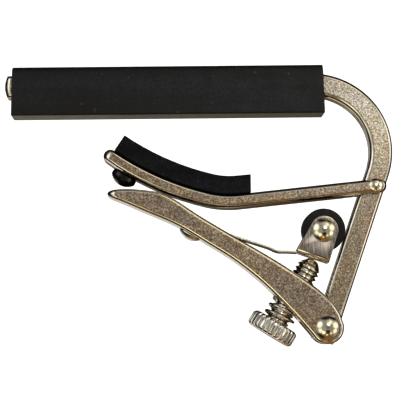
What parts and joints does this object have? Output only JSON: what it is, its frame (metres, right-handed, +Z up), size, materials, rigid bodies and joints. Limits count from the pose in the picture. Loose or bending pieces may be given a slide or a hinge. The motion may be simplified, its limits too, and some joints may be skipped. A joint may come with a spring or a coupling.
{
  "type": "guitar capo",
  "caption": "Over-centre guitar capo: rubber-sleeved bent bar, padded swinging jaw, and a lever with a leaf-sprung roller set by a thumb screw.",
  "frame": {"origin": "middle of the sleeve's underside, the face that meets the strings", "axes": "+X along the bar towards the bend and the leg, +Y across the width from the front face to the back, +Z up from the strings through the bar; the jaw and the lever hang below and every pivot turns about Y"},
  "size_m": [0.0803, 0.0124, 0.0583],
  "materials": {
    "tumbled_nickel": "tumbled satin nickel plate with polished edges",
    "polished_nickel": "polished nickel plate",
    "spring_steel": "bright rolled spring steel",
    "black_rubber": "matte moulded rubber",
    "black_nylon": "satin nylon"
  },
  "bodies": {
    "frame": {"frame_bar": "tumbled_nickel", "fret_sleeve": "black_rubber"},
    "jaw": {"jaw_arm": "tumbled_nickel", "jaw_pad": "black_rubber", "jaw_rivet": "polished_nickel"},
    "lever": {"lever_arm": "tumbled_nickel", "lever_rivet": "polished_nickel", "leaf_spring": "spring_steel", "leaf_rivet": "polished_nickel", "screw_spring": "spring_steel"},
    "yoke": {"roller_yoke": "spring_steel", "roller_pin": "polished_nickel"},
    "roller": {"roller": "black_nylon"},
    "screw": {"adjusting_screw": "polished_nickel", "thumb_knob": "polished_nickel"}
  },
  "joints": [
    {"name": "lever_swing", "type": "hinge", "parent": "frame", "child": "lever", "pos_m": [0.03235, 0, -0.04438], "axis": [0, 1, 0], "range_deg": [-90, 0]},
    {"name": "jaw_drop", "type": "hinge", "parent": "frame", "child": "jaw", "pos_m": [0.04275, 0, -0.0152], "axis": [0, 1, 0], "range_deg": [-22.5, 0]},
    {"name": "yoke_slide", "type": "slide", "parent": "lever", "child": "yoke", "axis": [0.5299, 0, 0.848], "range_m": [-0.002, 0.0005], "deforming": ["leaf_spring", "screw_spring"]},
    {"name": "screw_turn", "type": "hinge", "parent": "yoke", "child": "screw", "pos_m": [0.02956, 0, -0.03091], "axis": [0.5299, 0, 0.848], "range_deg": [-720, 180]},
    {"name": "roller_spin", "type": "hinge", "parent": "yoke", "child": "roller", "pos_m": [0.032, 0, -0.02415], "axis": [0, 1, 0], "continuous": true}
  ],
  "couplings": [
    {"joint": "jaw_drop", "follows": "lever_swing", "ratio": 0.25},
    {"joint": "screw_turn", "follows": "yoke_slide", "rad_per_m": 6283.2}
  ]
}
